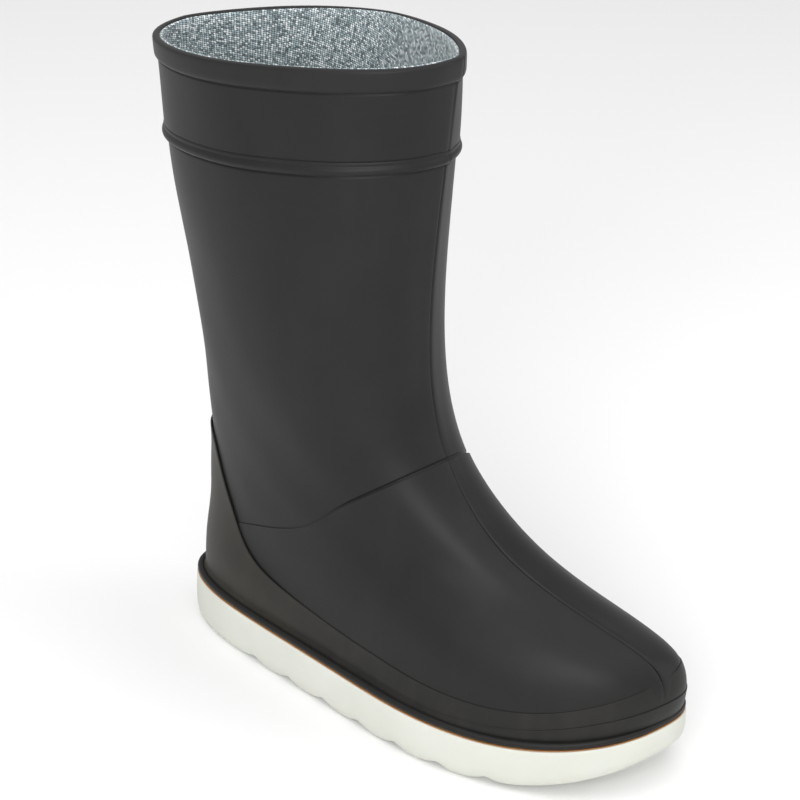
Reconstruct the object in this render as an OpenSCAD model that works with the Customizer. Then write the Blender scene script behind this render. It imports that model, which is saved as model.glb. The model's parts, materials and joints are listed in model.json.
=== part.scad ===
// Rubber deck boot for the right foot.
// X runs towards the toe, Y towards the inner side of the foot and Z up.
// The origin is on the ground, under the middle of the heel.

/* [Boot size] */
// Length of the outsole, from heel to toe
sole_length = 286; // [250:1:310]
// Width of the outsole across the ball of the foot
sole_width = 107; // [94:1:116]
// Height of the collar above the ground, at the shin
boot_height = 337; // [300:1:400]

/* [Rubber and lining] */
// Thickness of the rubber sheet of the leg and the vamp
rubber_t = 2; // [1.6:0.1:2.4]
// Thickness of the knitted lining
lining_t = 1.5; // [1:0.1:2]
// Thickness of the mudguard that wraps the foot
mudguard_t = 1.3; // [1:0.1:1.6]
// Thickness of the narrow foxing strip along the sole
foxing_t = 1.4; // [1:0.1:1.6]
// Thickness of the heel stiffener and of the toe puff
stiffener_t = 1; // [0.6:0.1:1.2]

/* [Collar] */
// Thickness of the band around the top of the leg
band_t = 1; // [0.8:0.1:1.4]
// Radius of the bead along the band's lower edge
bead_r = 1.9; // [1.4:0.1:2.4]
// Thickness of the binding that is folded over the top edge
binding_t = 1.2; // [1:0.1:1.6]
// Depth of the binding below the top edge, outside
binding_depth = 10; // [7:1:13]

/* [Sole] */
// Height of the outsole's side wall
sole_height = 25; // [23:0.5:25.5]
// How far the outsole stands out past the vamp
sole_lip = 6; // [5:0.5:8]
// How far the tip of the toe curls up from the ground
toe_spring = 18; // [12:1:22]
// Number of grooves across the tread
tread_grooves = 7; // [5:1:8]
// Depth of the tread grooves
tread_depth = 2.5; // [1.5:0.5:4]
// Radius of the rounded piping above the outsole
piping_r = 1.8; // [1.4:0.1:2]
// Thickness of the amber gum layer under the piping
gum_t = 0.8; // [0.6:0.1:1.2]
// Depth of the tray in the outsole that the filler lies in
tray_depth = 7; // [5:1:10]

/* [Footbed] */
// Thickness of the foam of the loose footbed
foam_t = 4.5; // [3:0.5:6]
// Thickness of the cloth on the footbed
cloth_t = 0.8; // [0.6:0.1:1.2]

/* [Hidden] */

// Cross-sections of the boot from the feather line, where the upper meets the sole, to the collar.
// Each is a closed curve in a sloping plane, at the outer face of the rubber sheet:
// [height at the back, height at the front, x at the back, x at the front, half width at the back,
//  half width at the front, shift of the toe inwards, roundness (2 is an ellipse), depth of the
//  waist under the arch, how far the inner side of the toe leads the outer side, share of toe lift,
//  how much the inner side is pinched at its ends, and the outer side filled out].
STATIONS = [
    [ 26,  23, -34, 238, 35, 50, 8, 2.5,  4, 12, 1,   0],
    [ 42,  37, -34, 244, 36, 49, 7, 2.45, 3, 15, 0.8, 0],
    [ 57,  56, -33, 242, 34, 48, 8, 2.4,  2, 15, 0.6, 0],
    [ 75,  70, -32, 230, 34, 42, 5, 2.15, 0, 12, 0.3, 0],
    [ 90,  83, -32, 196, 36, 35, 4, 2.0,  0,  5, 0.1, 0],
    [112, 101, -32, 158, 35, 34, 1, 2.0,  0,  1, 0,   0],
    [140, 125, -32, 122, 38, 38, 0, 2.1,  0,  0, 0,   0],
    [172, 160, -34, 103, 41, 46, 0, 2.1,  0,  0, 0,   0],
    [207, 209, -42, 101, 44, 49, 0, 1.95, 0,  0, 0,   0],
    [243, 258, -54, 104, 48, 50, 0, 1.9,  0,  0, 0,   0],
    [280, 301, -57, 109, 52, 50, 0, 1.85, 0,  0, 0,   0.05],
    [317, 336, -55, 112, 56, 50, 0, 1.75, 0,  0, 0,   0.3]];
TOP = len(STATIONS) - 1;
NOMINAL_LENGTH = 286;
NOMINAL_WIDTH = 107;
NOMINAL_HEIGHT = 337;
len_k = sole_length / NOMINAL_LENGTH;
wid_k = sole_width / NOMINAL_WIDTH;
feather_z = STATIONS[0][0];
hgt_k = (boot_height - feather_z) / (NOMINAL_HEIGHT - feather_z);

COLUMNS = 56;
RING = [for (i = [0 : COLUMNS - 1]) 360 * i / COLUMNS];
VAMP_ROWS = 8;
LAP_ROW = VAMP_ROWS - 1;
BAND_ROW = 17;
ALL_ROWS = 19;
band_t_low = 9.75;
seam_gap = 0.4;
clear = 0.1;
overlay_clear = 0.35;

// ---- the surface of the boot ----
function smooth(a, b, x) = let (u = max(0, min(1, (x - a) / (b - a)))) u * u * (3 - 2 * u);
function unit(v) = v / norm(v);
function control(k) =
    k < 0 ? 2 * STATIONS[0] - STATIONS[1] :
    k > TOP ? 2 * STATIONS[TOP] - STATIONS[TOP - 1] : STATIONS[k];

// The sole and the upper curl up in front of the ball of the foot.
ball_x = 165;
curl_length = 75;
function toe_lift(x) = toe_spring * pow(max(0, x - ball_x) / curl_length, 2) * 2 / 3;

// Cross-section at place t, from 0 at the feather line to TOP at the collar: a cubic B-spline.
function station(t) =
    let (i = max(0, min(TOP - 1, floor(t))), f = t - i)
    (pow(1 - f, 3) * control(i - 1) + (3 * f * f * f - 6 * f * f + 4) * control(i)
     + (3 * f * f - 3 * f * f * f + 3 * f + 1) * control(i + 1) + f * f * f * control(i + 2)) / 6;

// Point of cross-section s at angle a: 0 is the toe or shin, 90 the inner side, 180 the heel.
function ring_point(s, a) =
    let (c = cos(a), e = sin(a), cx = sign(c) * pow(abs(c), 2 / s[7]),
         sy = sign(e) * pow(abs(e), 2 / s[7] * (1 + s[11] * sign(e))),
         u = (1 + cx) / 2, waist_side = e > 0 ? 1 : 0.45,
         w = s[4] + (s[5] - s[4]) * smooth(0.15, 0.75, u)
             - s[8] * exp(-pow((u - 0.42) / 0.2, 2)) * waist_side,
         x = s[2] + (s[3] - s[2]) * u + s[9] * sy * u * u)
    [x * len_k, (w * sy + s[6] * u * u) * wid_k,
     feather_z + (s[0] + (s[1] - s[0]) * u - feather_z) * hgt_k + s[10] * toe_lift(x)];
function forward_part(a) = (1 + cos(a)) / 2;
// The front seam swings towards the outer side on its way over the instep.
function seam_swing(t) = -12 * exp(-pow((t - 4.9) / 1.15, 2));
function skin_point(t, a) = ring_point(station(t), a + seam_swing(t) * pow(forward_part(a), 2));
function along(t, a) = unit(skin_point(t + 0.03, a) - skin_point(t - 0.03, a));
function outward(t, a) =
    unit(cross(skin_point(t, a + 1.5) - skin_point(t, a - 1.5), along(t, a)));
// Point d outside the surface, and h past it along the leg.
function place(t, a, d, h = 0) =
    skin_point(t, a) + d * outward(t, a) + (h == 0 ? [0, 0, 0] : h * along(t, a));

// Outline of the boot at the feather line, d outside the surface, as a flat curve.
function feather(d) =
    [for (a = RING)
        let (s = STATIONS[0], p = ring_point(s, a), g = ring_point(s, a + 1) - ring_point(s, a - 1),
             k = norm([g[0], g[1]]))
        [p[0] + d * g[1] / k, p[1] - d * g[0] / k]];

// ---- lines on the surface ----
// Top edge of the vamp: high over the instep, low at the heel.
function seam_t(a) = let (u = forward_part(a)) 1.8 + 6.5 * u - 2 * u * u;
// Place of grid row v at angle a. Row VAMP_ROWS lies on the top edge of the vamp, and row
// BAND_ROW on the lower edge of the band around the collar.
function row_t(v, a) =
    v <= VAMP_ROWS ? seam_t(a) * v / VAMP_ROWS :
    v <= BAND_ROW ? seam_t(a) + (band_t_low - seam_t(a)) * (v - VAMP_ROWS) / (BAND_ROW - VAMP_ROWS) :
    band_t_low + (TOP - band_t_low) * (v - BAND_ROW) / (ALL_ROWS - BAND_ROW);
function from_heel(a) = abs(180 - a);
// The tip of the toe lies a little towards the inner side.
TIP = 15;
function from_tip(a) = min(abs(a - TIP), abs(a - TIP - 360));
function soft_min(a, b) = pow(pow(a, -6) + pow(b, -6), -1 / 6);
// Top edge of the mudguard: a tall tongue up the heel, a low strip at the sides, higher at the toe.
function tongue(a) = soft_min(9 * exp(-pow(from_heel(a) / 32, 2)), 3.6);
function mudguard_t_top(a) =
    1 + tongue(a) + 0.4 * (1 - smooth(60, 110, from_heel(a))) + 1 - smooth(-10, 85, from_tip(a));
function foxing_t_top(a) = 0.3 + 0.75 * (1 - smooth(10, 100, from_tip(a)));
function from_toe(a) = min(abs(a), abs(360 - a));
// Where the stiffener and the puff lie between the rubber and the lining, the lining gives way.
function stiffener_room(t, a) =
    max((1 - smooth(62, 84, from_heel(a))) * (1 - smooth(3.6, 4.6, t)),
        (1 - smooth(46, 66, from_toe(a))) * (1 - smooth(2, 2.8, t)));
// The rubber sheet is skived thin along the top edge, and the lining follows it out.
rim_t = 0.7;
function wall_t(t) = rubber_t - (rubber_t - rim_t) * smooth(10.2, 10.9, t);
function lining_out(t, a) = -(wall_t(t) + clear) - (stiffener_t + clear) * stiffener_room(t, a);
// The mudguard stands off the covered end of the vamp's top edge.
function mudguard_in(a) = overlay_clear + 0.65 * (1 - smooth(50, 80, from_heel(a)));
function lap_t(a) = 1.2 - 0.6 * (1 - smooth(50, 80, from_heel(a)));

// ---- building solids from grids of points ----
// Closed solid between an outer and an inner grid of m rows by n columns.
module shell(outer, inner, closed = true) {
    m = len(outer);
    n = len(outer[0]);
    in0 = m * n;
    last = closed ? n - 1 : n - 2;
    function at(j, i) = j * n + i % n;
    skin_faces = [for (j = [0 : m - 2], i = [0 : last])
        let (a = at(j, i), b = at(j + 1, i), c = at(j + 1, i + 1), d = at(j, i + 1))
        each [[a, b, c], [a, c, d], [in0 + a, in0 + c, in0 + b], [in0 + a, in0 + d, in0 + c]]];
    rim_faces = [for (i = [0 : last])
        let (a = at(0, i), d = at(0, i + 1), b = at(m - 1, i), c = at(m - 1, i + 1))
        each [[a, d, in0 + d], [a, in0 + d, in0 + a], [c, b, in0 + b], [c, in0 + b, in0 + c]]];
    end_faces = closed ? [] : [for (j = [0 : m - 2])
        let (a = at(j, 0), b = at(j + 1, 0), c = at(j, n - 1), d = at(j + 1, n - 1))
        each [[b, a, in0 + a], [b, in0 + a, in0 + b], [c, d, in0 + d], [c, in0 + d, in0 + c]]];
    polyhedron(concat([for (r = outer) each r], [for (r = inner) each r]),
               concat(skin_faces, rim_faces, end_faces), convexity = 10);
}
// Ring swept around the boot. Each row of the grid is one line of its section, in turn.
module hoop(rows) {
    m = len(rows);
    n = len(rows[0]);
    faces = [for (j = [0 : m - 1], i = [0 : n - 1])
        let (a = j * n + i, b = ((j + 1) % m) * n + i, c = ((j + 1) % m) * n + (i + 1) % n,
             d = j * n + (i + 1) % n)
        each [[a, b, c], [a, c, d]]];
    polyhedron([for (r = rows) each r], faces, convexity = 10);
}
// Height of the seat that the upper stands on, over the length of the boot.
function seat_z(x) =
    let (s = STATIONS[0], u = (x / len_k - s[2]) / (s[3] - s[2]))
    s[0] + (s[1] - s[0]) * u + toe_lift(x / len_k);
// Slab inside the outline d outside the feather line, from z0 to z1 above or below the seat.
module slab(d, z0, z1) {
    xs = [for (k = [0 : 26]) (-56 + 12.5 * k) * len_k];
    intersection() {
        linear_extrude(90) polygon(feather(d));
        rotate([90, 0, 0]) linear_extrude(240, center = true)
            polygon(concat([for (x = xs) [x, seat_z(x) + z0]],
                           [for (k = [len(xs) - 1 : -1 : 0]) [xs[k], seat_z(xs[k]) + z1]]));
    }
}
// Grid of points on rows v of the boot's own grid, at the angles given.
function grid(rows, angles, d) = [for (v = rows) [for (a = angles) place(row_t(v, a), a, d)]];
// Angles of one side of the boot, from the front seam to the heel seam.
function side_angles(first, last) =
    concat([first + seam_gap], [for (a = RING) if (a > first && a < last) a], [last - seam_gap]);

// ---- sole ----
tray_inset = 5;
sole_drop = feather_z - sole_height;
tread_pitch = 26;
first_groove = 23;
groove_r = 6;
module tread_body() {
    xs = [for (k = [0 : 12]) (ball_x + 8 * k) * len_k];
    rotate([90, 0, 0]) linear_extrude(240, center = true)
        polygon(concat([[-60, 90], [-60, 0]], [for (x = xs) [x, 1.5 * toe_lift(x / len_k)]],
                       [[xs[len(xs) - 1], 90]]));
}
module outsole() color([0.91, 0.91, 0.88]) difference() {
    intersection() {
        slab(sole_lip, -60, -sole_drop);
        tread_body();
    }
    slab(-tray_inset, -sole_drop - tray_depth, 1);
    for (k = [0 : tread_grooves - 1])
        translate([(first_groove + k * tread_pitch) * len_k, 120, tread_depth - groove_r])
            rotate([90, 0, 0]) cylinder(r = groove_r, h = 240, $fn = 48);
}
module midsole_filler() color([0.45, 0.43, 0.4])
    slab(-tray_inset - 0.2, -sole_drop - tray_depth, -2 * clear);
module gum_layer() color([0.72, 0.5, 0.28]) difference() {
    slab(sole_lip - 0.4, -sole_drop, gum_t - sole_drop);
    slab(-tray_inset, -sole_drop - 1, gum_t + 1);
}

// ---- inside the foot ----
board_inset = rubber_t + lining_t + stiffener_t + 3 * clear + 0.3;
board_t = 2;
bed = board_t + clear;
module insole_board() color([0.62, 0.5, 0.36]) slab(-board_inset, 0, board_t);
module footbed_foam() color([0.25, 0.27, 0.3]) slab(-board_inset - 0.6, bed, bed + foam_t);
module footbed_cloth() color([0.52, 0.56, 0.57])
    slab(-board_inset - 0.6, bed + foam_t, bed + foam_t + cloth_t);

// ---- lining ----
LINING_SPLIT = VAMP_ROWS + 1;
function lining_face(rows, d) =
    [for (v = rows) [for (a = RING) let (t = row_t(v, a)) place(t, a, lining_out(t, a) - d)]];
module lining(rows) color([0.52, 0.56, 0.57]) shell(lining_face(rows, 0), lining_face(rows, lining_t));
module foot_lining() lining([0 : LINING_SPLIT]);
module leg_lining() lining([LINING_SPLIT : ALL_ROWS]);

// ---- stiffening pieces between the rubber and the lining ----
module pocket_piece(angles, top) color([0.3, 0.29, 0.27]) {
    rows = [for (k = [0 : 5]) top * k / 5];
    shell([for (t = rows) [for (a = angles) place(t, a, -rubber_t - clear)]],
          [for (t = rows) [for (a = angles) place(t, a, -rubber_t - clear - stiffener_t + 0.15)]],
          closed = false);
}
STIFFENER_REACH = 58;
STIFFENER_TOP = 3.2;
PUFF_REACH = 45;
PUFF_TOP = 1.7;
module heel_stiffener()
    pocket_piece([for (a = RING) if (from_heel(a) < STIFFENER_REACH) a], STIFFENER_TOP);
module toe_puff() pocket_piece([for (a = [-PUFF_REACH : 360 / COLUMNS : PUFF_REACH]) a], PUFF_TOP);

// ---- rubber sheets ----
// The vamp laps over the lower edge of the leg, and its free edge stands proud.
function vamp_out(v, a) =
    lap_t(a) * (v < LAP_ROW - 1 ? 0 : v < LAP_ROW ? 0.25 : v < VAMP_ROWS ? 0.8 : 1);
function vamp_in(v, a) = v < LAP_ROW ? -rubber_t : v < VAMP_ROWS ? clear - 0.6 * lap_t(a) : clear;
function leg_out(v, a) = v < VAMP_ROWS ? -0.6 * lap_t(a) : 0;
module vamp(angles) color([0.2, 0.2, 0.2]) {
    rows = [0 : VAMP_ROWS];
    shell([for (v = rows) [for (a = angles) place(row_t(v, a), a, vamp_out(v, a))]],
          [for (v = rows) [for (a = angles) place(row_t(v, a), a, vamp_in(v, a))]], closed = false);
}
module leg(angles) color([0.2, 0.2, 0.2]) {
    rows = [LAP_ROW : ALL_ROWS];
    shell([for (v = rows) [for (a = angles) place(row_t(v, a), a, leg_out(v, a))]],
          [for (v = rows) [for (a = angles) let (t = row_t(v, a)) place(t, a, -wall_t(t))]],
          closed = false);
}
module vamp_medial() vamp(side_angles(0, 180));
module vamp_lateral() vamp(side_angles(180, 360));
module leg_medial() leg(side_angles(0, 180));
module leg_lateral() leg(side_angles(180, 360));

// ---- strips around the foot ----
module mudguard() color([0.24, 0.24, 0.23]) {
    rows = [for (k = [0 : 7]) k / 7];
    shell([for (k = rows) [for (a = RING) place(k * mudguard_t_top(a), a, mudguard_in(a) + mudguard_t)]],
          [for (k = rows) [for (a = RING) place(k * mudguard_t_top(a), a, mudguard_in(a))]]);
}
function foxing_in(a) = mudguard_in(a) + mudguard_t + clear;
module foxing_strip() color([0.2, 0.2, 0.2]) {
    rows = [for (k = [0 : 4]) k / 4];
    shell([for (k = rows) [for (a = RING) place(k * foxing_t_top(a), a, foxing_in(a) + foxing_t)]],
          [for (k = rows) [for (a = RING) place(k * foxing_t_top(a), a, foxing_in(a))]]);
}
module sole_piping() color([0.13, 0.13, 0.13]) {
    z0 = gum_t - sole_drop + piping_r + clear;
    hoop([for (q = [0 : 45 : 315])
        [for (p = feather(sole_lip - piping_r - 0.3 + piping_r * cos(q)))
            [p[0], p[1], seat_z(p[0]) + z0 - piping_r * sin(q)]]]);
}

// ---- collar ----
module cuff_band() color([0.2, 0.2, 0.2])
    shell(grid([BAND_ROW : ALL_ROWS], RING, clear + band_t), grid([BAND_ROW : ALL_ROWS], RING, clear));
module cuff_bead() color([0.2, 0.2, 0.2])
    hoop([for (q = [0 : 45 : 315])
        [for (a = RING) place(band_t_low, a, clear + bead_r + bead_r * cos(q),
                              -bead_r - 0.2 - bead_r * sin(q))]]);
module collar_binding() color([0.17, 0.17, 0.17]) {
    out = 3 * clear + band_t;
    cap = clear + 0.8;
    section = [[out, -binding_depth], [out, clear], [-rim_t, clear], [-rim_t, cap - 0.4],
               [-rim_t + 0.3, cap], [out + 0.4, cap], [out + binding_t, cap - 0.6],
               [out + binding_t, 1 - binding_depth], [out + binding_t / 2, -binding_depth]];
    hoop([for (p = section) [for (a = RING) place(TOP, a, p[0], p[1])]]);
}

outsole();
gum_layer();
midsole_filler();
insole_board();
footbed_foam();
footbed_cloth();
foot_lining();
leg_lining();
heel_stiffener();
toe_puff();
vamp_lateral();
vamp_medial();
leg_lateral();
leg_medial();
mudguard();
foxing_strip();
sole_piping();
cuff_band();
cuff_bead();
collar_binding();
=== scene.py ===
import json
import math
import bmesh
import bpy
import numpy as np
from mathutils import Matrix, Vector

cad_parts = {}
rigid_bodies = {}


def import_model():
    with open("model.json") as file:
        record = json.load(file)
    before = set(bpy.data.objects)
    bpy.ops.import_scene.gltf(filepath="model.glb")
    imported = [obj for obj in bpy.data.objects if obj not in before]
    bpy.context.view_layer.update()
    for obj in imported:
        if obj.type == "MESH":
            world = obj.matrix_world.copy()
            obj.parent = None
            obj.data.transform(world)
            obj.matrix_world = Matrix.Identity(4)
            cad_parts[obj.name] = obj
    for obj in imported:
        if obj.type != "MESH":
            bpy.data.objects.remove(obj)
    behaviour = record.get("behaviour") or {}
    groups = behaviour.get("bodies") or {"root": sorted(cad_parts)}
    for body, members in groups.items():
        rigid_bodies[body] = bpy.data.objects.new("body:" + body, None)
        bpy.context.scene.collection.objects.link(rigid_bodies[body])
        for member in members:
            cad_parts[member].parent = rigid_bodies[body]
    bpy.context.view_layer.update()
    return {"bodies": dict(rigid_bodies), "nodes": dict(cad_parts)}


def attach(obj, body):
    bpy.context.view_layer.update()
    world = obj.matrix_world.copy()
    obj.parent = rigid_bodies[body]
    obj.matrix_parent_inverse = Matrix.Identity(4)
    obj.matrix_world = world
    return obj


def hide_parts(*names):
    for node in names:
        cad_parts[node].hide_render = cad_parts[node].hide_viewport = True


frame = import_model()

# ---- Camera ----
# The boot is seen from in front of its outer side and from above, at arm's length, with a long lens.
CAMERA_AZIMUTH = math.radians(38.1)
CAMERA_HEIGHT = math.radians(26.45)
CAMERA_DISTANCE = 1.234
CAMERA_ROLL = math.radians(2.06)
CAMERA_AIM = Vector((0.0922, 0.0072, 0.1500))
camera_back = Vector((math.sin(CAMERA_AZIMUTH) * math.cos(CAMERA_HEIGHT),
                      -math.cos(CAMERA_AZIMUTH) * math.cos(CAMERA_HEIGHT),
                      math.sin(CAMERA_HEIGHT)))
camera_right = (-camera_back).cross(Vector((0, 0, 1))).normalized()
camera_up = camera_right.cross(-camera_back).normalized()
rolled_right = camera_right * math.cos(CAMERA_ROLL) + camera_up * math.sin(CAMERA_ROLL)
rolled_up = camera_up * math.cos(CAMERA_ROLL) - camera_right * math.sin(CAMERA_ROLL)
camera_data = bpy.data.cameras.new("camera")
camera_data.sensor_width = 36
camera_data.lens = 114.7
camera_data.shift_x = -0.0245
camera_data.shift_y = 0.0170
camera = bpy.data.objects.new("camera", camera_data)
turn = Matrix((rolled_right, rolled_up, camera_back)).transposed().to_4x4()
camera.matrix_world = Matrix.Translation(CAMERA_AIM + camera_back * CAMERA_DISTANCE) @ turn
bpy.context.scene.collection.objects.link(camera)
bpy.context.scene.camera = camera

# ---- Lining ----
# A sock of ribbed blue-grey knit, pulled over the last first, so its shape is the shape of the last.
# The foot part and the leg part are two pieces of the same knit, seamed above the ankle.

# Cross-sections of the last with its rubber on, from the sole to the collar, in millimetres:
# back height, front height, back, front, back half width, front half width, inward shift of the toe,
# roundness, waist, lead of the inner side of the toe, share of the toe's curl, pinch of the inner side.
SECTIONS = np.array([
    (26, 23, -34, 238, 35, 50, 8, 2.5, 4, 12, 1, 0),
    (42, 37, -34, 244, 36, 49, 7, 2.45, 3, 15, 0.8, 0),
    (57, 56, -33, 242, 34, 48, 8, 2.4, 2, 15, 0.6, 0),
    (75, 70, -32, 230, 34, 42, 5, 2.15, 0, 12, 0.3, 0),
    (90, 83, -32, 196, 36, 35, 4, 2.0, 0, 5, 0.1, 0),
    (112, 101, -32, 158, 35, 34, 1, 2.0, 0, 1, 0, 0),
    (140, 125, -32, 122, 38, 38, 0, 2.1, 0, 0, 0, 0),
    (172, 160, -34, 103, 41, 46, 0, 2.1, 0, 0, 0, 0),
    (207, 209, -42, 101, 44, 49, 0, 1.95, 0, 0, 0, 0),
    (243, 258, -54, 104, 48, 50, 0, 1.9, 0, 0, 0, 0),
    (280, 301, -57, 109, 52, 50, 0, 1.85, 0, 0, 0, 0.05),
    (317, 336, -55, 112, 56, 50, 0, 1.75, 0, 0, 0, 0.3)])
BODY = list(frame["bodies"])[0]
MM = 0.001
COLLAR = len(SECTIONS) - 1
BALL_X = 165
CURL_LENGTH = 75
TOE_SPRING = 18
RUBBER = 2.0
KNIT = 1.5
GAP = 0.1
SEAM_SWING = math.radians(-12)
SWING_AT = 4.9
SWING_REACH = 1.15
AROUND = 336


def smooth(low, high, x):
    u = np.clip((np.asarray(x, float) - low) / (high - low), 0, 1)
    return u * u * (3 - 2 * u)


def toe_lift(x):
    """The sole's rise from the ball of the foot to the tip."""
    return TOE_SPRING * (np.maximum(0, x - BALL_X) / CURL_LENGTH) ** 2 * 2 / 3


def section_at(t):
    """The section at height t, counted in stations, on one smooth curve through the sections."""
    under_sole = 2 * SECTIONS[0] - SECTIONS[1]
    over_collar = 2 * SECTIONS[-1] - SECTIONS[-2]
    control = np.concatenate([[under_sole], SECTIONS, [over_collar]])
    i = np.clip(np.floor(t).astype(int), 0, COLLAR - 1)
    f = t - i
    weights = (1 - f) ** 3, 3 * f ** 3 - 6 * f ** 2 + 4, 3 * f ** 2 - 3 * f ** 3 + 3 * f + 1, f ** 3
    return sum(w[..., None] * control[i + k] for k, w in enumerate(weights)) / 6


def ring_point(section, angle):
    """A point of one section: angle 0 is the toe or shin, 90 degrees the inner side, 180 the heel."""
    (back_z, front_z, back, front, back_w, front_w, shift, round_, waist, lead, curl,
     pinch) = np.moveaxis(section, -1, 0)
    c, s = np.cos(angle), np.sin(angle)
    forward = (1 + np.sign(c) * np.abs(c) ** (2 / round_)) / 2
    side = np.sign(s) * np.abs(s) ** (2 / round_ * (1 + pinch * np.sign(s)))
    waist_side = np.where(s > 0, 1.0, 0.45)
    width = (back_w + (front_w - back_w) * smooth(0.15, 0.75, forward)
             - waist * np.exp(-((forward - 0.42) / 0.2) ** 2) * waist_side)
    x = back + (front - back) * forward + lead * side * forward ** 2
    z = back_z + (front_z - back_z) * forward + curl * toe_lift(x)
    return np.stack([x, width * side + shift * forward ** 2, z], -1)


def forward_part(angle):
    return (1 + np.cos(angle)) / 2


def skin_point(t, angle):
    """Point on the outer skin. The front seam, at angle 0, swings outwards over the instep."""
    swing = SEAM_SWING * np.exp(-((t - SWING_AT) / SWING_REACH) ** 2)
    return ring_point(section_at(t), angle + swing * forward_part(angle) ** 2)


def unit(v):
    return v / np.linalg.norm(v, axis=-1, keepdims=True)


def upward(t, angle):
    return unit(skin_point(t + 0.03, angle) - skin_point(t - 0.03, angle))


def outward(t, angle):
    step = math.radians(1.5)
    return unit(np.cross(skin_point(t, angle + step) - skin_point(t, angle - step), upward(t, angle)))


def place(t, angle, out, past=0.0):
    """Points at height t and angle around the last, out from it and past them along the leg."""
    t, angle, out, past = np.broadcast_arrays(*(np.asarray(v, float) for v in (t, angle, out, past)))
    return skin_point(t, angle) + out[..., None] * outward(t, angle) + past[..., None] * upward(t, angle)


def new_piece(name, points, faces, corners):
    """A closed smooth-shaded piece from points in millimetres. corners lays its faces out flat."""
    mesh = bpy.data.meshes.new(name)
    mesh.from_pydata((np.asarray(points) * MM).tolist(), [], faces)
    mesh.uv_layers.new(name="cut").data.foreach_set("uv", (np.asarray(corners) * MM).ravel())
    shape = bmesh.new()
    shape.from_mesh(mesh)
    bmesh.ops.remove_doubles(shape, verts=shape.verts, dist=0.002 * MM)
    bmesh.ops.recalc_face_normals(shape, faces=shape.faces)
    shape.to_mesh(mesh)
    shape.free()
    mesh.polygons.foreach_set("use_smooth", [True] * len(mesh.polygons))
    mesh.update()
    piece = bpy.data.objects.new(name, mesh)
    bpy.context.scene.collection.objects.link(piece)
    return piece


def run_along(line):
    return np.concatenate([[0], np.cumsum(np.linalg.norm(np.diff(line, axis=0), axis=1))])


def wrap(name, rows, closed=True, filled=False):
    """A solid that goes round the boot. rows are the lines of its section, in turn.

    closed is False for one half of the boot, and filled is True where the first and the last row
    both lie on the boot's spine, so that the piece has no hole in its middle."""
    rows = np.asarray(rows)
    m, n = rows.shape[:2]
    middle = rows[m // 4]
    around = run_along(np.concatenate([middle, middle[:1]]))
    across = run_along(np.concatenate([rows[:, n // 3], rows[:1, n // 3]]))
    faces, corners = [], []
    for j in range(m - 1 if filled else m):
        for i in range(n if closed else n - 1):
            spots = ((j, i), (j + 1, i), (j + 1, i + 1), (j, i + 1))
            faces.append([a % m * n + b % n for a, b in spots])
            corners += [(around[b], across[a]) for a, b in spots]
    if not closed:
        for k in range(m // 2 - 1):
            for end, turn in ((0, 1), (n - 1, -1)):
                spots = ((k, end), (m - 1 - k, end), (m - 2 - k, end), (k + 1, end))[::turn]
                faces.append([a * n + b for a, b in spots])
                corners += [(around[b] + (2 if a > m // 2 else 0), across[min(a, m - 1 - a)])
                            for a, b in spots]
    return new_piece(name, rows.reshape(-1, 3), faces, corners)


def finish_with(piece, material, slot, *replaced):
    piece.data.materials.clear()
    piece.data.materials.append(material)
    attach(piece, BODY)
    if replaced:
        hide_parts(*replaced)


def from_heel(angle):
    return np.abs(180 - np.degrees(angle) % 360)


def from_toe(angle):
    degrees = np.degrees(angle) % 360
    return np.minimum(degrees, 360 - degrees)


def stiffener_room(t, angle):
    """1 where the heel stiffener or the toe puff lies between the rubber and the knit, else 0."""
    heel = (1 - smooth(62, 84, from_heel(angle))) * (1 - smooth(3.6, 4.6, t))
    toe = (1 - smooth(46, 66, from_toe(angle))) * (1 - smooth(2, 2.8, t))
    return np.maximum(heel, toe)


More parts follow.
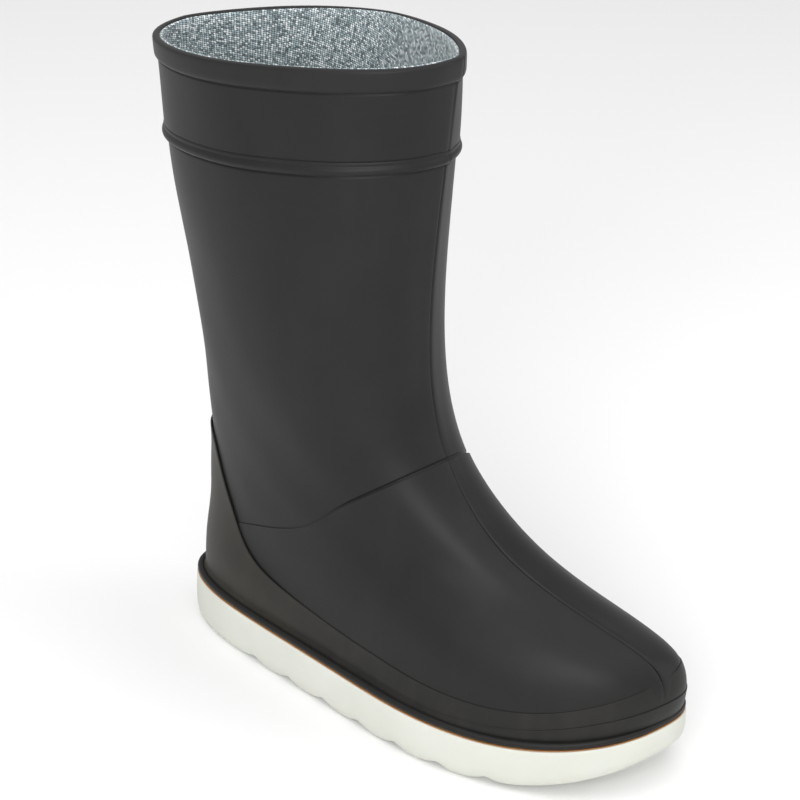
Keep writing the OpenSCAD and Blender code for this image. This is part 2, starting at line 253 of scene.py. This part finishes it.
class Finish:
    """A material built from nodes: each call adds one node and returns it."""

    def __init__(self, name):
        self.material = bpy.data.materials.new(name)
        self.material.use_nodes = True
        self.tree = self.material.node_tree
        self.shader = self.tree.nodes["Principled BSDF"]
        self.where = self.add("ShaderNodeTexCoord").outputs["Object"]

    def add(self, kind, **settings):
        node = self.tree.nodes.new(kind)
        for key, value in settings.items():
            setattr(node, key, value)
        return node

    def join(self, source, target):
        self.tree.links.new(source, target)

    def noise(self, scale, detail, rough=0.55, squash=(1, 1, 1)):
        place_node = self.add("ShaderNodeMapping")
        place_node.inputs["Scale"].default_value = squash
        node = self.add("ShaderNodeTexNoise")
        node.inputs["Scale"].default_value = scale
        node.inputs["Detail"].default_value = detail
        node.inputs["Roughness"].default_value = rough
        self.join(self.where, place_node.inputs["Vector"])
        self.join(place_node.outputs["Vector"], node.inputs["Vector"])
        return node.outputs["Fac"]

    def ramp(self, source, *stops):
        node = self.add("ShaderNodeValToRGB")
        band = node.color_ramp
        while len(band.elements) < len(stops):
            band.elements.new(0.5)
        for element, (at, value) in zip(band.elements, stops):
            element.position = at
            element.color = (*value, 1) if isinstance(value, tuple) else (value, value, value, 1)
        self.join(source, node.inputs["Fac"])
        return node.outputs["Color"]

    def maths(self, operation, *values):
        node = self.add("ShaderNodeMath", operation=operation)
        for socket, value in zip(node.inputs, values):
            if isinstance(value, (int, float)):
                socket.default_value = value
            else:
                self.join(value, socket)
        return node.outputs["Value"]

    def mix(self, share, first, second):
        node = self.add("ShaderNodeMix", data_type="RGBA")
        for socket, value in ((node.inputs[0], share), (node.inputs[6], first), (node.inputs[7], second)):
            if isinstance(value, (int, float)):
                socket.default_value = value
            elif isinstance(value, tuple):
                socket.default_value = (*value, 1)
            else:
                self.join(value, socket)
        return node.outputs[2]

    def set(self, **values):
        for name, value in values.items():
            socket = self.shader.inputs[name.replace("_", " ")]
            if isinstance(value, tuple):
                socket.default_value = (*value, 1)
            elif isinstance(value, (int, float)):
                socket.default_value = value
            else:
                self.join(value, socket)

    def bumps(self, *layers):
        """Raised detail: each layer is (height, depth in metres, strength)."""
        normal = None
        for height, depth, strength in layers:
            node = self.add("ShaderNodeBump")
            node.inputs["Distance"].default_value = depth
            node.inputs["Strength"].default_value = strength
            self.join(height, node.inputs["Height"])
            if normal is not None:
                self.join(normal, node.inputs["Normal"])
            normal = node.outputs["Normal"]
        self.join(normal, self.shader.inputs["Normal"])


WALE = 1.1 * MM
COURSE = 1.05 * MM
WALE_LEAN = 0.35
KNIT_SWAY = 0.0007


def knit_finish(name, gap, yarn, white):
    """Weft knit: stitches in upright wales, with dark gaps of painted shade between them, and flecked yarn.
    """
    f = Finish(name)
    cut = f.add("ShaderNodeUVMap", uv_map="cut").outputs["UV"]
    parts = f.add("ShaderNodeSeparateXYZ")
    bend = f.add("ShaderNodeMix", data_type="VECTOR")
    bend.inputs[0].default_value = KNIT_SWAY
    sway = f.add("ShaderNodeTexNoise")
    sway.inputs["Scale"].default_value = 260
    f.join(cut, sway.inputs["Vector"])
    f.join(cut, bend.inputs[4])
    f.join(sway.outputs["Color"], bend.inputs[5])
    f.join(bend.outputs[1], parts.inputs[0])
    wale = f.maths("DIVIDE", parts.outputs[0], WALE)
    lean = f.maths("MULTIPLY", wale, WALE_LEAN)
    course = f.maths("ADD", f.maths("DIVIDE", parts.outputs[1], COURSE), lean)
    upright = f.maths("ABSOLUTE", f.maths("SINE", f.maths("MULTIPLY", wale, math.pi)))
    level = f.maths("ABSOLUTE", f.maths("SINE", f.maths("MULTIPLY", course, math.pi)))
    stitch = f.maths("ADD", f.maths("MULTIPLY", upright, 0.5), f.maths("MULTIPLY", level, 0.5))
    cell = f.add("ShaderNodeCombineXYZ")
    f.join(f.maths("FLOOR", wale), cell.inputs[0])
    f.join(f.maths("FLOOR", course), cell.inputs[1])
    fleck = f.add("ShaderNodeTexWhiteNoise", noise_dimensions="2D")
    f.join(cell.outputs[0], fleck.inputs["Vector"])
    colour = f.ramp(fleck.outputs["Value"], (0.0, tuple(0.35 * c for c in yarn)), (0.35, yarn),
                    (0.65, tuple(1.3 * c for c in yarn)), (0.9, white))
    fuzz = f.noise(1500, 3)
    # gap is painted shade: its colour fills the low hollows between the stitch bumps.
    f.set(Base_Color=f.mix(f.ramp(stitch, (0.34, 1.0), (0.72, 0.0)), colour, gap),
          Roughness=f.ramp(fuzz, (0.3, 0.8), (0.8, 0.95)),
          Sheen_Weight=0.2, Sheen_Roughness=0.5, Specular_IOR_Level=0.2)
    f.bumps((stitch, 0.35 * MM, 0.7), (fuzz, 0.06 * MM, 0.5))
    return f.material


RIM = 0.7
STIFFENER = 1.0
SKIVED_FROM = 10.2
SKIVED_TO = 10.9
# The first colour of each knit is painted shade for the gaps between stitches.
lining_knit = knit_finish("lining_knit", (0.05, 0.065, 0.075), (0.35, 0.42, 0.44), (0.85, 0.88, 0.88))
ring_angles = np.linspace(0, 2 * np.pi, AROUND, endpoint=False)


def wall_thickness(t):
    """The rubber sheet is skived thin along the top edge, and the lining follows it out."""
    return RUBBER - (RUBBER - RIM) * smooth(SKIVED_FROM, SKIVED_TO, t)


def lining_tube(name, heights, edge, replaced):
    """The knit between two heights. edge rounds its top edge over by that much."""
    t = heights[:, None]
    outer = -(wall_thickness(t) + GAP) - (STIFFENER + GAP) * stiffener_room(t, ring_angles[None])
    top = [place(heights[-1], ring_angles, outer[-1] - KNIT * k, edge * math.sin(math.pi * k)) for k in
           (0.12, 0.3, 0.5, 0.7, 0.88)]
    rows = np.concatenate([place(t, ring_angles[None], outer), top,
                           place(t, ring_angles[None], outer - KNIT)[::-1]])
    finish_with(wrap(name, rows), lining_knit, "lining", replaced)


LINING_SEAM = 6.6
lining_tube("lining_of_foot", np.linspace(0.05, LINING_SEAM, 60), 0.0, "foot_lining")
lining_tube("lining_of_leg", np.linspace(LINING_SEAM + 0.01, COLLAR, 60), 0.7, "leg_lining")

# ---- Heel stiffener, toe puff, insole board and filler ----
# Rubberised canvas pressed between lining and rubber, the board that the upper is lasted to, and the
# cork-and-foam filler under it. They are sealed in the boot, so the frame's own solids carry them.


def fibre_finish(name, dark, pale, scale, rough, depth):
    f = Finish(name)
    coarse, fine = f.noise(scale, 5), f.noise(scale * 7, 4)
    tone = f.mix(f.ramp(coarse, (0.35, 0.0), (0.65, 1.0)), dark, pale)
    f.set(Base_Color=f.mix(f.ramp(fine, (0.4, 0.0), (0.8, 0.5)), tone, tuple(1.4 * p for p in pale)),
          Roughness=f.ramp(coarse, (0.3, rough), (0.8, min(1.0, rough + 0.12))))
    f.bumps((coarse, depth, 0.5), (fine, depth / 3, 0.6))
    return f.material


def keep_solid(node, material):
    slots = frame["nodes"][node].data.materials
    slots.clear()
    slots.append(material)


canvas = fibre_finish("rubberised_canvas", (0.05, 0.05, 0.045), (0.11, 0.105, 0.095), 700, 0.8, 0.2 * MM)
keep_solid("heel_stiffener", canvas)
keep_solid("toe_puff", canvas)
board_finish = fibre_finish("fibre_board", (0.26, 0.17, 0.09), (0.42, 0.3, 0.17), 300, 0.8, 0.2 * MM)
filler_finish = fibre_finish("cork_filler", (0.16, 0.13, 0.1), (0.33, 0.29, 0.25), 180, 0.85, 0.5 * MM)
keep_solid("insole_board", board_finish)
keep_solid("midsole_filler", filler_finish)

# ---- Footbed ----
# A loose insole: moulded foam under a layer of the lining's knit. It lies on the board and lifts
# out. Only its heel shows, far down in the leg.
BOARD = 2.0
FOAM = 4.5
CLOTH = 0.8
BED_PLAY = 0.9
BED_INSET = RUBBER + KNIT + STIFFENER + 3 * GAP + BED_PLAY


def seat_height(x):
    """Height of the face that the upper stands on, which falls from the heel to the ball."""
    heel_z, toe_z, heel_x, toe_x = SECTIONS[0, :4]
    return heel_z + (toe_z - heel_z) * (x - heel_x) / (toe_x - heel_x) + toe_lift(x)


def feather_line(out, angles):
    """The outline where the upper meets the sole, moved outwards: x and y for each angle."""
    section, step = np.broadcast_to(SECTIONS[0], (len(angles), SECTIONS.shape[1])), math.radians(1)
    point = ring_point(section, angles)
    way = ring_point(section, angles + step) - ring_point(section, angles - step)
    side = np.stack([way[:, 1], -way[:, 0]], -1) / np.linalg.norm(way[:, :2], axis=1)[:, None]
    return point[:, :2] + out * side


def spine(angles):
    """Line down the middle of the sole, from the heel's centre to the toe's, and back."""
    x = -2 + 197 * forward_part(angles)
    return np.column_stack([x, 5 * smooth(60, 180, x)])


def insole_layer(name, low, high):
    """A flat layer in the shape of the insole, with a rounded upper rim."""
    outline, middle = feather_line(-BED_INSET, ring_angles), spine(ring_angles)
    rows = []
    for share in (0.0, 0.4, 0.8, 0.97, 1.0):
        flat = middle + (outline - middle) * share
        rows.append(np.column_stack([flat, seat_height(flat[:, 0]) + low]))
    for share in (1.0, 0.995, 0.98, 0.95, 0.8, 0.6, 0.4, 0.2, 0.0):
        flat = middle + (outline - middle) * share
        drop = 0.4 * (high - low) * smooth(0.94, 1.0, share)
        rows.append(np.column_stack([flat, seat_height(flat[:, 0]) + high - drop]))
    piece = wrap(name, rows, filled=True)
    spots = np.empty(len(piece.data.loops), int)
    piece.data.loops.foreach_get("vertex_index", spots)
    flat = np.array([v.co[:2] for v in piece.data.vertices])
    piece.data.uv_layers["cut"].data.foreach_set("uv", flat[spots].ravel())
    return piece


foam = insole_layer("footbed_foam_pad", BOARD + GAP, BOARD + GAP + FOAM)
foam_finish = fibre_finish("footbed_foam_finish", (0.03, 0.035, 0.04), (0.07, 0.075, 0.085), 900, 0.85,
                           0.2 * MM)
finish_with(foam, foam_finish, "footbed_foam", "footbed_foam")
cover = insole_layer("footbed_cover", BOARD + GAP + FOAM + 0.02, BOARD + GAP + FOAM + CLOTH)
# Its first colour is painted shade for the gaps between stitches.
cover_knit = knit_finish("footbed_knit", (0.05, 0.07, 0.08), (0.30, 0.36, 0.39), (0.7, 0.72, 0.72))
finish_with(cover, cover_knit, "footbed_cloth", "footbed_cloth")

# ---- Leg ----
# Two calendered rubber sheets, an outer and an inner, that meet down the shin and down the back of
# the calf. Each is soft black rubber, matt, with a bloom in patches and a very fine grain.
JOIN = 0.10
CREASE_WIDTH = 5.0
CREASE_HEIGHT = 1.0
SEAM_GROOVE = 0.5
BAND_LOW = 9.75
UNDER_BEAD = 5.3


def seam_height(angle):
    """Height of the ankle seam, from low at the heel to high on the instep."""
    u = forward_part(angle)
    return 1.8 + 6.5 * u - 2 * u * u


def lap_thickness(angle):
    """The vamp's edge stands proud over the instep and is pressed almost flush towards the heel."""
    return 0.95 - 0.65 * smooth(60, 105, from_toe(angle))


def half_angles(start):
    """Angles of one half of the boot, closer together at its two seams."""
    u = np.linspace(0, 1, AROUND // 2)
    u = u - 0.75 * np.sin(2 * np.pi * u) / (2 * np.pi)
    return start + math.radians(JOIN) + u * (np.pi - 2 * math.radians(JOIN))


def seam_relief(t, angle):
    """The two sheets meet on a blunt ridge with a fine groove down its middle, front and back."""
    section = section_at(np.asarray(t, float))
    half = (section[..., 4] + section[..., 5]) / 2
    away = np.abs(np.sin(angle)) ** (2 / section[..., 7]) * half
    ridge = CREASE_HEIGHT * np.exp(-(away / CREASE_WIDTH) ** 2) * (np.cos(angle) > 0)
    return ridge - SEAM_GROOVE * np.exp(-(away / 0.6) ** 2)


def groove(t, centre, depth, width):
    """A fine line pressed into the sheet at the height centre."""
    return -depth * np.exp(-((t - centre) / width) ** 2)


def below(t, depth, angle):
    """Height on the skin that lies depth millimetres below the height t."""
    reach = skin_point(t, angle) - skin_point(t - 0.3, angle)
    return t - 0.3 * depth / np.linalg.norm(reach, axis=-1)


def spaced(edges, counts):
    """Rows of heights between one edge line and the next, with so many rows in each gap."""
    edges = [np.asarray(e, float) for e in edges]
    rows = [a + (b - a) * np.linspace(0, 1, n, endpoint=False)[:, None]
            for a, b, n in zip(edges, edges[1:], counts)]
    return np.concatenate(rows + [edges[-1][None]])


def hand_waver(t, angle):
    """Slight unevenness of hand-laid sheet, the same on every layer of it."""
    return (0.22 * np.sin(3 * angle + 1.3 * t) * np.sin(1.7 * t + 0.6)
            + 0.16 * np.sin(5 * angle - 0.9 * t + 1.1) + 0.10 * np.sin(9 * angle + 2.3 * t))


def rubber_finish(name, colour, warm, rough, grain=1.0, toe=None):
    """Soft rubber with a faint bloom. toe is the darker colour it takes on towards the toe, leaving painted
    light on the heel end.
    """
    f = Finish(name)
    colour_to, warm_to = colour, warm
    # With toe given, the colour fades from a lighter, warmer heel to a darker toe: painted light on the
    # heel.
    if toe:
        forward = f.add("ShaderNodeSeparateXYZ")
        f.join(f.where, forward.inputs[0])
        along = f.ramp(f.maths("MULTIPLY_ADD", forward.outputs[0], 5.5, 0.25), (0.1, 0.0), (0.8, 1.0))
        warm_to = f.mix(along, warm, toe)
        colour_to = f.mix(along, colour, tuple(0.75 * c for c in toe))
    patches = f.noise(14, 4, 0.6)
    streaks = f.noise(60, 3, 0.5, squash=(1, 1, 0.25))
    specks = f.noise(2200, 2)
    tone = f.mix(f.ramp(patches, (0.35, 0.0), (0.7, 1.0)), colour_to, warm_to)
    tone = f.mix(f.ramp(streaks, (0.5, 0.0), (0.85, 0.35)), tone, tuple(1.35 * c for c in warm))
    f.set(Base_Color=f.mix(f.ramp(specks, (0.62, 0.0), (0.8, 0.25)), tone, tuple(1.8 * c for c in warm)),
          Roughness=f.ramp(f.mix(0.5, patches, specks), (0.3, rough - 0.05), (0.7, rough + 0.07)),
          Specular_IOR_Level=0.24, Sheen_Weight=0.03, Sheen_Roughness=0.4)
    f.bumps((f.noise(26, 2), 0.8 * MM, 0.12), (f.noise(420, 4), 0.10 * MM, 0.35 * grain),
            (f.noise(3800, 2), 0.03 * MM, 0.5 * grain))
    return f.material


upper_rubber = rubber_finish("upper_rubber", (0.0078, 0.0078, 0.0078), (0.0118, 0.0116, 0.0111), 0.49)


def leg_half(name, start, replaced):
    """One sheet of the leg, skived where it runs under the vamp, with a line pressed in above it."""
    angles = half_angles(start)
    seam = seam_height(angles)
    bead = below(BAND_LOW, UNDER_BEAD, angles)
    top = np.full(len(angles), float(COLLAR))
    t = spaced((seam - 0.75, seam - 0.05, seam + 0.12, bead - 0.08, bead + 0.06, top), (24, 36, 70, 30, 16))
    skived = (0.6 * lap_thickness(angles))[None] * (1 - smooth(0.0, 0.6, t - seam + 0.75))
    front = 1 - smooth(60, 95, from_toe(angles))
    waver = hand_waver(t, angles)
    lines = groove(t, seam + 0.035, 0.12 + 0.45 * front, 0.016) + groove(t, bead, 0.5, 0.016)
    outer = place(t, angles[None], waver + seam_relief(t, angles) - skived + lines)
    inner = place(t, angles[None], np.minimum(waver, 0.0) - wall_thickness(t))
    piece = wrap(name, np.concatenate([outer, inner[::-1]]), closed=False)
    finish_with(piece, upper_rubber, "upper_rubber", replaced)


leg_half("leg_inner_side", 0.0, "leg_medial")
leg_half("leg_outer_side", np.pi, "leg_lateral")

# ---- Vamp ----
# Two more sheets of the same rubber over the foot. Their top edge laps over the leg on a line that
# falls from the instep to the heel, and that edge is rounded and stands a little proud.
LAP_REACH = 0.62


def vamp_half(name, start, replaced):
    """One sheet of the vamp, with its top edge lapped over the leg."""
    angles = half_angles(start)
    high = seam_height(angles)[None]
    t = spaced((0 * high[0], high[0] - 1.0, high[0] - 0.2, high[0]), (90, 30, 20))
    into_lap = smooth(LAP_REACH, 0.1, high - t)
    lap = lap_thickness(angles)[None]
    proud = lap * smooth(1.6, 0.25, high - t)
    waver = hand_waver(t, angles)
    body = place(t, angles[None], waver + seam_relief(t, angles) + proud)
    rim = waver[-1:] + seam_relief(high, angles) + 0.08
    edge = [place(high, angles[None], rim + lap * (0.5 + 0.5 * math.cos(q)), 0.5 * math.sin(q))
            for q in (0.4, 0.8, 1.2, 1.6, 2.1, 2.7)]
    lining_side = place(t, angles[None], waver - RUBBER + (RUBBER + 0.05) * into_lap)
    piece = wrap(name, np.concatenate([body] + edge + [lining_side[::-1]]), closed=False)
    finish_with(piece, upper_rubber, "upper_rubber", replaced)


vamp_half("vamp_inner_side", 0.0, "vamp_medial")
vamp_half("vamp_outer_side", np.pi, "vamp_lateral")

# ---- Mudguard ----
# One strip of drier, slightly warmer rubber laid round the foot over the vamp: a tall tongue up the
# heel, a low rand along the sides and a bumper at the toe. Its upper edge is rolled flat.
MUDGUARD = 1.3
TIP = 15
# Its toe colour leaves the heel end lighter and warmer: painted light falling on the heel.
strip_rubber = rubber_finish("strip_rubber", (0.019, 0.0175, 0.0135), (0.033, 0.030, 0.023), 0.5, 1.2,
                             toe=(0.0135, 0.013, 0.012))


def from_tip(angle):
    """Degrees away from the tip of the toe, which lies a little towards the inner side."""
    return np.abs((np.degrees(angle) - TIP + 180) % 360 - 180)


def soft_min(a, b):
    return (a ** -6.0 + b ** -6.0) ** (-1 / 6)


def mudguard_top(angle):
    heel = from_heel(angle)
    tongue = soft_min(9 * np.exp(-(heel / 32) ** 2), 3.6)
    return 1 + tongue + 0.4 * (1 - smooth(60, 110, heel)) + 1 - smooth(-10, 85, from_tip(angle))


def mudguard_edge(angle):
    """Thickness of the mudguard's upper edge: clear on the tongue, rolled thin elsewhere."""
    return 0.35 + 0.55 * (1 - smooth(45, 85, from_heel(angle)))


def rolled_strip(name, top, under, thick, edge, count):
    """A strip laid round the foot, up to the height top, that thins towards a rounded upper edge."""
    high = top(ring_angles)[None]
    share = np.linspace(0, 1, count)[:, None]
    t = high * share
    waver = hand_waver(t, ring_angles)
    rise = under(ring_angles)[None]
    body = edge(ring_angles)[None] + (thick - edge(ring_angles)[None]) * (1 - smooth(0.35, 1.0, share))
    outer = place(t, ring_angles[None], rise + body + waver)
    tip = edge(ring_angles)
    rim = [place(high[0], ring_angles, rise[0] + waver[-1] + tip * (0.5 + 0.5 * math.cos(q)),
                 0.8 * tip * math.sin(q)) for q in (0.3, 0.7, 1.1, 1.6, 2.2, 2.8)]
    inner = place(t, ring_angles[None], rise + waver)
    return wrap(name, np.concatenate([outer, rim, inner[::-1]]))


def mudguard_under(angle):
    return 0.05 + 0.45 * (1 - smooth(50, 80, from_heel(angle)))


mudguard = rolled_strip("mudguard_strip", mudguard_top, mudguard_under, MUDGUARD, mudguard_edge, 60)
finish_with(mudguard, strip_rubber, "strip_rubber", "mudguard")

# ---- Foxing ----
# A narrow strip that covers the joint between the mudguard and the sole, pressed on last and wider
# at the toe. A soft groove runs between it and the piping below.
FOXING = 1.3


def foxing_top(angle):
    return 0.3 + 0.75 * (1 - smooth(10, 100, from_tip(angle)))


def foxing_under(angle):
    return mudguard_under(angle) + MUDGUARD - 0.2


def foxing_edge(angle):
    return np.full_like(angle, 0.4)


foxing = rolled_strip("foxing_band", foxing_top, foxing_under, FOXING, foxing_edge, 24)
finish_with(foxing, strip_rubber, "strip_rubber", "foxing_strip")

# ---- Outsole ----
# White non-marking rubber, moulded in one piece. Its lower edge is cut into shallow scallops by the
# seven grooves across the tread.
SOLE_LIP = 6.0
SOLE_DROP = 1.0
SOLE_AROUND = 960
SOLE_BEVEL = 0.9
UNDER_ROWS = 40
GROOVES = 7
FIRST_GROOVE = 23
GROOVE_PITCH = 26
GROOVE_DEPTH = 2.5
TRAY = 7.0
TRAY_INSET = 5.0


def groove_cut(x):
    """Depth of the tread grooves at x: rounded lugs with a soft notch between each two."""
    cut = np.zeros_like(x)
    for k in range(GROOVES):
        away = np.abs(x - FIRST_GROOVE - GROOVE_PITCH * k)
        cut = np.maximum(cut, GROOVE_DEPTH * np.exp(-(away / 5.2) ** 1.5))
    return cut


def under_height(x):
    return 1.5 * toe_lift(x) + groove_cut(x)


def sole_rows():
    """Rows of the sole unit: the tray, its rim, the bulging side wall, then the tread."""
    angles = np.linspace(0, 2 * np.pi, SOLE_AROUND, endpoint=False)
    middle = spine(angles)
    tray = feather_line(-TRAY_INSET, angles)
    tray_z = -SOLE_DROP - TRAY
    rows = []
    for share in (0.0, 0.5, 0.99, 1.0):
        flat = middle + (tray - middle) * share
        rows.append(np.column_stack([flat, seat_height(flat[:, 0]) + tray_z]))
    for out, drop in ((-TRAY_INSET, 0.2), (-TRAY_INSET + 0.2, 0.0), (SOLE_LIP - 2, 0.0),
                      (SOLE_LIP - 1.1, 0.0), (SOLE_LIP - 0.5, 0.1), (SOLE_LIP - 0.15, 0.4),
                      (SOLE_LIP, SOLE_BEVEL)):
        flat = feather_line(out, angles)
        rows.append(np.column_stack([flat, seat_height(flat[:, 0]) - SOLE_DROP - drop]))
    edge = feather_line(SOLE_LIP, angles)
    rim = seat_height(edge[:, 0]) - SOLE_DROP - SOLE_BEVEL
    floor = under_height(edge[:, 0])
    for share, out in ((0.10, 0.05), (0.25, 0.15), (0.4, 0.2), (0.55, 0.15), (0.68, 0.0), (0.78, -0.3),
                       (0.86, -0.75), (0.92, -1.3), (0.965, -2.0), (0.99, -2.8), (1.0, -3.8)):
        rows.append(np.column_stack([feather_line(SOLE_LIP + out, angles), rim + (floor - rim) * share]))
    inner = feather_line(SOLE_LIP - 6, angles)
    for share in np.linspace(0, 1, UNDER_ROWS):
        flat = inner + (middle - inner) * share
        rows.append(np.column_stack([flat, under_height(flat[:, 0])]))
    return rows


def sole_finish():
    f = Finish("white_rubber")
    patches, fine = f.noise(18, 4), f.noise(1400, 3)
    parts = f.add("ShaderNodeSeparateXYZ")
    f.join(f.where, parts.inputs[0])
    low = f.ramp(f.maths("DIVIDE", parts.outputs[2], 25 * MM), (0.0, 1.0), (0.35, 0.0))
    scuff = f.maths("MULTIPLY", low, f.ramp(f.noise(90, 5, 0.7), (0.45, 0.0), (0.7, 1.0)))
    tone = f.mix(f.ramp(patches, (0.3, 0.0), (0.7, 1.0)), (0.56, 0.57, 0.505), (0.615, 0.625, 0.575))
    f.set(Base_Color=f.mix(f.maths("MULTIPLY", scuff, 0.35), tone, (0.56, 0.55, 0.48)),
          Roughness=f.ramp(patches, (0.3, 0.5), (0.7, 0.6)),
          Subsurface_Weight=0.08, Subsurface_Scale=0.002, Specular_IOR_Level=0.4)
    f.bumps((f.noise(45, 2), 0.5 * MM, 0.1), (fine, 0.06 * MM, 0.4))
    return f.material


sole = wrap("sole_unit", sole_rows(), filled=True)
finish_with(sole, sole_finish(), "outsole", "outsole")

# ---- Gum layer and piping ----
# A thin sheet of amber gum rubber bonds the sole to the upper and shows as a fine line, and a
# rounded black piping covers the joint above it.
GUM = 0.5
PIPING_R = 1.8


def band_on_seat(name, section):
    """A strip round the sole from (out, up) points of its section, up from the sole's top face."""
    rows = []
    for out, up in section:
        flat = feather_line(out, ring_angles)
        rows.append(np.column_stack([flat, seat_height(flat[:, 0]) - SOLE_DROP + up]))
    return wrap(name, np.array(rows))


def gum_finish():
    f = Finish("amber_gum")
    cloud = f.noise(120, 4)
    f.set(Base_Color=f.mix(cloud, (0.28, 0.13, 0.045), (0.42, 0.22, 0.09)),
          Roughness=f.ramp(cloud, (0.3, 0.35), (0.7, 0.5)), Subsurface_Weight=0.15, Subsurface_Scale=0.001)
    f.bumps((f.noise(800, 3), 0.04 * MM, 0.4))
    return f.material


gum_section = [(-TRAY_INSET + 0.2, 0.02), (-TRAY_INSET + 0.2, GUM), (SOLE_LIP - 0.9, GUM)]
gum_section += [(SOLE_LIP - 0.5, GUM * 0.8), (SOLE_LIP - 0.4, GUM * 0.45), (SOLE_LIP - 0.6, 0.02)]
finish_with(band_on_seat("gum_line", gum_section), gum_finish(), "gum_layer", "gum_layer")
piping_middle = SOLE_LIP - PIPING_R - 0.3
piping_section = [(piping_middle + PIPING_R * math.cos(q), GUM + GAP + PIPING_R - PIPING_R * math.sin(q))
                  for q in np.linspace(0, 2 * np.pi, 24, endpoint=False)]
# The piping's rubber is darker than the upper's: painted shade in the joint under the foxing.
piping_rubber = rubber_finish("piping_rubber", (0.006, 0.006, 0.006), (0.010, 0.0095, 0.009), 0.5)
finish_with(band_on_seat("piping_bead", piping_section), piping_rubber, "piping_rubber", "sole_piping")

# ---- Cuff ----
# A band of rubber round the top of the leg, finished along its lower edge by a flat half-round bead.
BAND = 1.0
BEAD_TOP = 2.3
BINDING_DEPTH = 10.0


def cuff_band():
    angles = ring_angles[None]
    low = below(BAND_LOW, -BEAD_TOP, ring_angles)
    tape = below(float(COLLAR), BINDING_DEPTH + 0.9, ring_angles)
    t = spaced((low, tape - 0.06, tape + 0.05, np.full(AROUND, float(COLLAR))), (30, 24, 10))
    relief = hand_waver(t, angles) + 0.6 * seam_relief(t, angles) + groove(t, tape, 0.45, 0.014)
    outer = place(t, angles, GAP + BAND + relief)
    inner = place(t, angles, GAP + hand_waver(t, angles))
    return wrap("cuff_band_strip", np.concatenate([outer, inner[::-1]]))


finish_with(cuff_band(), upper_rubber, "upper_rubber", "cuff_band")


def cuff_bead():
    """One low ridge over the band's lower edge, then a full one that hangs over the leg."""
    edge = GAP + BAND
    section = [(edge - 0.1, BEAD_TOP), (edge + 0.12, 2.1), (edge + 0.3, 1.7), (edge + 0.38, 1.2)]
    section += [(edge + 0.3, 0.75), (edge + 0.25, 0.45), (edge + 0.4, 0.1), (edge + 0.75, -0.4)]
    section += [(edge + 1.1, -1.0), (edge + 1.35, -1.7), (edge + 1.4, -2.4), (edge + 1.25, -3.1)]
    section += [(edge + 0.9, -3.75), (edge + 0.4, -4.2), (edge - 0.2, -4.4), (edge - 0.7, -4.3)]
    section += [(GAP, -4.0), (GAP, -2.5), (GAP, -1.0), (GAP, 0.8), (GAP, 2.0)]
    low = np.full(AROUND, BAND_LOW)
    waver = hand_waver(low, ring_angles) + 0.5 * seam_relief(low, ring_angles)
    rows = [place(BAND_LOW, ring_angles, out + waver, past) for out, past in section]
    return wrap("cuff_bead_strip", rows)


finish_with(cuff_bead(), upper_rubber, "upper_rubber", "cuff_bead")

# ---- Collar binding ----
# A strip of rubber tape round the top edge, rolled over the rubber but not over the knit. Its two
# ends butt together at the shin, and its lower edge is chamfered.
BINDING = 1.3
BUTT_JOINT = 0.6
BUTT_JOINT_AT = 6
binding_rubber = rubber_finish("binding_rubber", (0.0105, 0.0105, 0.0105), (0.0145, 0.0142, 0.0138), 0.5)


def binding():
    outside = GAP * 3 + BAND
    proud = outside + BINDING
    section = [(outside, -BINDING_DEPTH), (outside, -5.0), (outside, GAP), (0.0, GAP), (-RIM, GAP)]
    section += [(-RIM - 0.02, 0.4), (-RIM + 0.15, 0.7), (-RIM + 0.5, 0.88), (0.6, 0.92)]
    section += [(outside + 0.1, 0.85), (proud - 0.45, 0.68), (proud - 0.15, 0.35), (proud, -0.15)]
    section += [(proud + 0.08, -1.5), (proud + 0.1, -3.0), (proud + 0.1, -5.0), (proud + 0.1, -7.0)]
    section += [(proud + 0.05, -8.2), (proud - 0.15, -9.0), (proud - 0.5, -9.7), (proud - 0.9, -10.05)]
    joint = BUTT_JOINT * np.exp(-((np.degrees(ring_angles) - BUTT_JOINT_AT) / 0.8) ** 2)
    waver = 0.6 * hand_waver(np.full(AROUND, float(COLLAR)), ring_angles)
    rows = []
    for out, past in section:
        notch = joint * (out > outside + 0.3)
        rows.append(place(COLLAR, ring_angles, out + waver - notch, past))
    return wrap("collar_tape", rows)


finish_with(binding(), binding_rubber, "binding_rubber", "collar_binding")

# ---- Floor and light ----
# A pale seamless floor under a large soft box above, with a smaller one beside the camera for the
# highlight down the instep, and one behind on the right for the edge of the shin.
BOOT_MIDDLE = (0.09, 0.0, 0.15)


def studio_floor():
    bpy.ops.mesh.primitive_plane_add(size=12, location=(0, 0, 0))
    floor = bpy.context.object
    floor.name = "floor"
    f = Finish("pale_floor")
    cloud = f.noise(2, 2)
    f.set(Base_Color=f.mix(cloud, (0.86, 0.86, 0.86), (0.88, 0.88, 0.88)), Roughness=0.9)
    floor.data.materials.append(f.material)


studio_floor()


def soft_box(name, where, size, power):
    data = bpy.data.lights.new(name, "AREA")
    data.shape = "RECTANGLE"
    data.size, data.size_y = size
    data.energy = power
    light = bpy.data.objects.new(name, data)
    light.location = where
    light.rotation_mode = "QUATERNION"
    light.rotation_quaternion = (Vector(where) - Vector(BOOT_MIDDLE)).to_track_quat("Z", "Y")
    bpy.context.scene.collection.objects.link(light)


soft_box("top_box", (0.2, -0.3, 2.0), (2.2, 2.2), 22)
soft_box("front_box", (0.74, -1.38, 0.85), (0.7, 0.7), 15)
soft_box("rim_right", (1.6, 0.7, 1.0), (1.2, 1.4), 9)
world = bpy.data.worlds.new("studio")
world.use_nodes = True
world.node_tree.nodes["Background"].inputs["Color"].default_value = (1, 1, 1, 1)
world.node_tree.nodes["Background"].inputs["Strength"].default_value = 0.62
bpy.context.scene.world = world
bpy.context.scene.view_settings.view_transform = "Standard"
bpy.context.scene.view_settings.look = "None"
